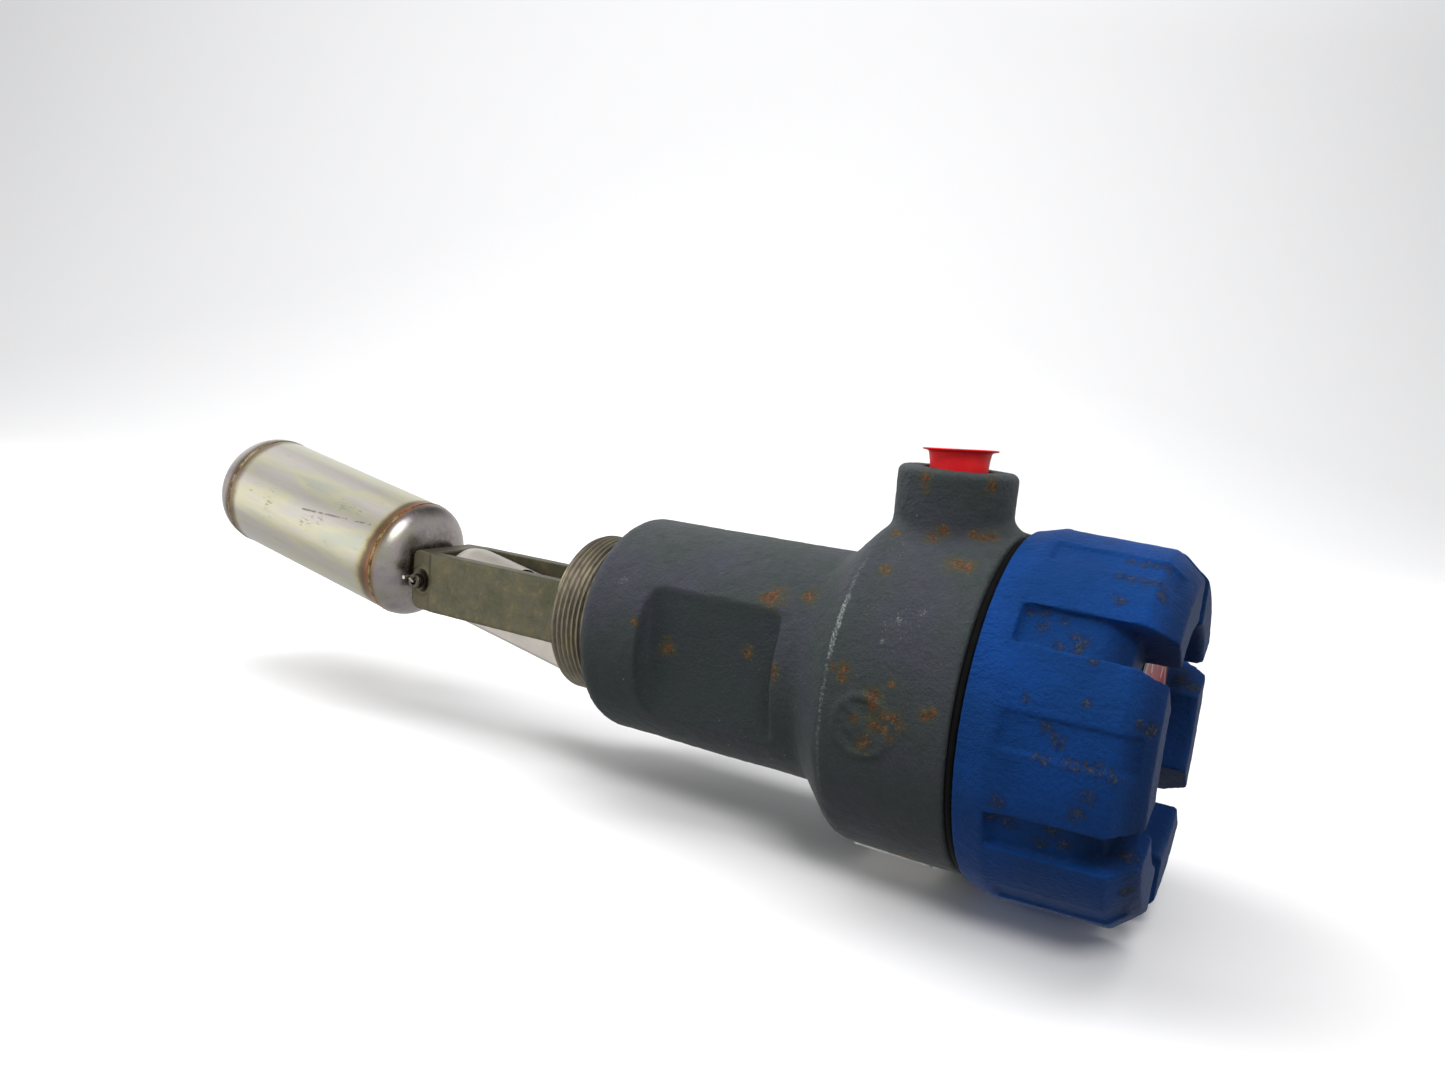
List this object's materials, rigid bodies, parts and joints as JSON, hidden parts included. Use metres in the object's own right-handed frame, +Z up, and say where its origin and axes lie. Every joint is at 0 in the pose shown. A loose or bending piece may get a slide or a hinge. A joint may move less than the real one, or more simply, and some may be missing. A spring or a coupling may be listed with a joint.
{
  "type": "float level switch",
  "caption": "Side-mounted magnetic float level switch: cylindrical float on a pivoted yoke, threaded process body, cast neck and drum with conduit boss, lugged screw cover.",
  "frame": {"origin": "on the switch axis, in the plane where the process thread meets the housing neck", "axes": "+X runs along the housing to the screw cover, -X to the float, +Z goes up through the conduit boss"},
  "size_m": [0.4255, 0.1148, 0.136],
  "materials": {
    "housing_paint": "dark slate grey paint on sand-cast iron, speckled with rust",
    "cover_paint": "strong blue textured paint, rust specks on its edges",
    "stainless_machined": "turned stainless steel",
    "stainless_cast": "matt cast stainless steel, olive grey",
    "lever_stainless": "satin milled stainless steel",
    "float_stainless": "satin stainless sheet, brushed lengthwise, straw heat tint by the seams",
    "weld_bead": "heat-tinted weld bead",
    "magnet_alloy": "bare magnet alloy",
    "zinc_plate": "zinc plated sheet steel",
    "brass_parts": "bare brass",
    "black_phenolic": "moulded black phenolic",
    "cream_thermoset": "moulded cream thermoset",
    "red_nylon": "moulded red nylon",
    "wire_insulation": "flexible wire insulation",
    "gasket_rubber": "flat rubber gasket",
    "o_ring_rubber": "black rubber sealing ring",
    "label_red": "red printed film, no lettering",
    "plug_red": "bright red moulded plastic",
    "nameplate_steel": "thin rolled plate, blank"
  },
  "bodies": {
    "housing": {"housing": "housing_paint", "process_body": "stainless_machined", "body_gasket": "gasket_rubber", "body_lock_nut": "stainless_machined", "float_yoke": "stainless_cast", "yoke_snap_ring": "stainless_machined", "pivot_pin": "stainless_machined", "pivot_washers": "stainless_machined", "pin_lock_wire": "stainless_machined", "chassis_plate": "zinc_plate", "chassis_screws": "zinc_plate", "switch_bracket": "zinc_plate", "bracket_screws": "zinc_plate", "rocker_pin": "stainless_machined", "microswitch_body": "black_phenolic", "microswitch_terminals": "brass_parts", "microswitch_spacers": "zinc_plate", "microswitch_screws": "zinc_plate", "terminal_block": "cream_thermoset", "terminal_screws": "brass_parts", "terminal_block_screws": "zinc_plate", "ground_screw": "brass_parts", "lead_wires": "wire_insulation", "nameplate": "nameplate_steel", "nameplate_drive_screws": "stainless_machined"},
    "float": {"float_tube": "float_stainless", "float_dome_inner": "float_stainless", "float_dome_outer": "float_stainless", "float_weld_inner": "weld_bead", "float_weld_outer": "weld_bead", "float_stem": "stainless_machined", "stem_weld": "weld_bead", "magnet_lever": "lever_stainless", "float_magnet": "magnet_alloy", "magnet_screw": "stainless_machined"},
    "rocker": {"magnet_rocker": "lever_stainless", "rocker_striker": "stainless_machined", "switch_magnet": "magnet_alloy", "switch_magnet_screw": "stainless_machined"},
    "plunger": {"microswitch_plunger": "red_nylon"},
    "seal_ring": {"cover_o_ring": "o_ring_rubber"},
    "cover": {"cover": "cover_paint", "end_label": "label_red"},
    "plug": {"conduit_plug": "plug_red"}
  },
  "joints": [
    {"name": "float_pivot", "type": "hinge", "parent": "housing", "child": "float", "pos_m": [-0.0993, 0, 0], "axis": [0, 1, 0], "range_deg": [-20.6, 0]},
    {"name": "rocker_pivot", "type": "hinge", "parent": "housing", "child": "rocker", "pos_m": [0.062, 0, 0], "axis": [0, 1, 0], "range_deg": [-16, 0]},
    {"name": "plunger_press", "type": "slide", "parent": "housing", "child": "plunger", "axis": [0, 0, 1], "range_m": [0, 0.0014]},
    {"name": "cover_travel", "type": "slide", "parent": "housing", "child": "seal_ring", "axis": [1, 0, 0], "range_m": [0, 0.014]},
    {"name": "cover_turn", "type": "hinge", "parent": "seal_ring", "child": "cover", "pos_m": [0.16, 0, 0], "axis": [1, 0, 0], "range_deg": [0, 2520]},
    {"name": "plug_lift", "type": "slide", "parent": "housing", "child": "plug", "axis": [0, 0, 1], "range_m": [0, 0.06]}
  ],
  "couplings": [
    {"joint": "rocker_pivot", "follows": "float_pivot", "ratio": 0.776},
    {"joint": "plunger_press", "follows": "float_pivot", "m_per_rad": -0.003866},
    {"joint": "cover_travel", "follows": "cover_turn", "m_per_rad": 0.00031831}
  ]
}
